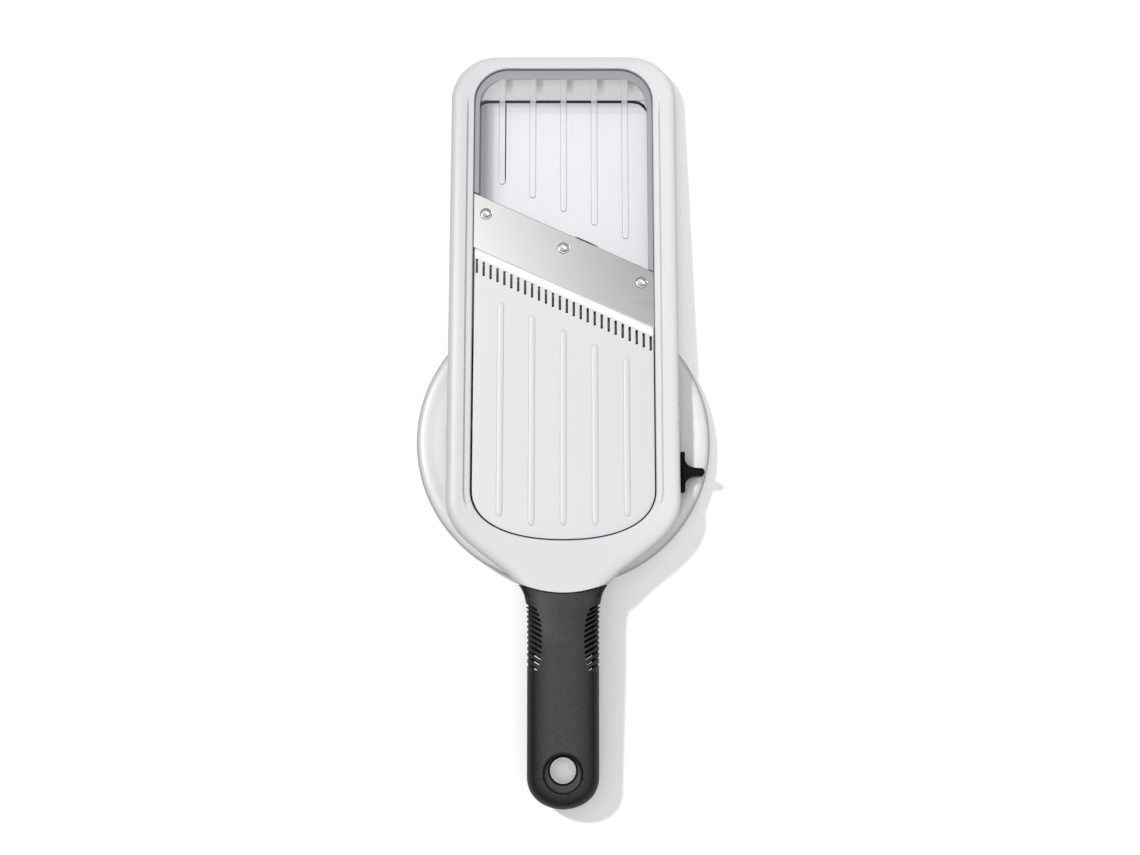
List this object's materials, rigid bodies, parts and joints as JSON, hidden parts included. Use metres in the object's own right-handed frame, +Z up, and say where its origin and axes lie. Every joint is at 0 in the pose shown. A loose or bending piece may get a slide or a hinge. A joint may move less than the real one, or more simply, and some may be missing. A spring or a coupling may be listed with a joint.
{
  "type": "mandoline slicer",
  "caption": "Hand-held mandoline slicer with slanted steel blade, clear window, tilting ribbed feed table, side thickness lever, soft handle and a round food holder stored underneath.",
  "frame": {"origin": "centre of the footprint's box, on the surface the slicer lies on", "axes": "+Y toward the far (window) end, handle toward -Y, +X toward the thickness lever, +Z up"},
  "size_m": [0.15, 0.3882, 0.0304],
  "materials": {
    "white_abs": "smooth satin-gloss moulded white",
    "soft_black": "soft-touch matte charcoal black",
    "hard_black": "smooth black moulding",
    "clear": "transparent, faint lilac tint",
    "blade_steel": "satin stainless, fine grain",
    "pin_steel": "polished",
    "grey_plastic": "matte light grey"
  },
  "bodies": {
    "food_holder": {"holder_dish": "white_abs", "palm_pad": "soft_black", "prong_plate": "grey_plastic", "prong_screw": "pin_steel"},
    "slicer_body": {"frame_shell": "white_abs", "handle_grip": "soft_black", "hang_eyelet": "hard_black", "window_panel": "clear", "slicing_blade": "blade_steel", "blade_pin_left": "pin_steel", "blade_pin_mid": "pin_steel", "blade_pin_right": "pin_steel", "panel_screw_left": "pin_steel", "panel_screw_right": "pin_steel", "toe_foot": "soft_black", "ramp_hinge_pin": "blade_steel", "detent_spring": "blade_steel"},
    "feed_table": {"feed_ramp": "white_abs"},
    "comb_unit": {"julienne_comb": "blade_steel", "comb_carrier": "grey_plastic", "comb_screw_left": "pin_steel", "comb_screw_right": "pin_steel"},
    "lever_carriage": {"wedge_carriage": "grey_plastic", "thickness_lever": "hard_black", "lever_screw": "pin_steel"}
  },
  "joints": [
    {"name": "holder_release", "type": "slide", "parent": "food_holder", "child": "slicer_body", "axis": [0, 0.063, 0.998], "range_m": [0, 0.06]},
    {"name": "lever_slide", "type": "slide", "parent": "slicer_body", "child": "lever_carriage", "axis": [0, 0.998, -0.063], "range_m": [0, 0.03]},
    {"name": "table_tilt", "type": "hinge", "parent": "slicer_body", "child": "feed_table", "pos_m": [0, -0.0545, 0.0173], "axis": [1, 0, 0], "range_deg": [-1.51, 0]},
    {"name": "comb_lift", "type": "slide", "parent": "feed_table", "child": "comb_unit", "axis": [0, 0.063, 0.998], "range_m": [0, 0.0036]}
  ],
  "couplings": [
    {"joint": "table_tilt", "follows": "lever_slide", "rad_per_m": -0.87267}
  ]
}
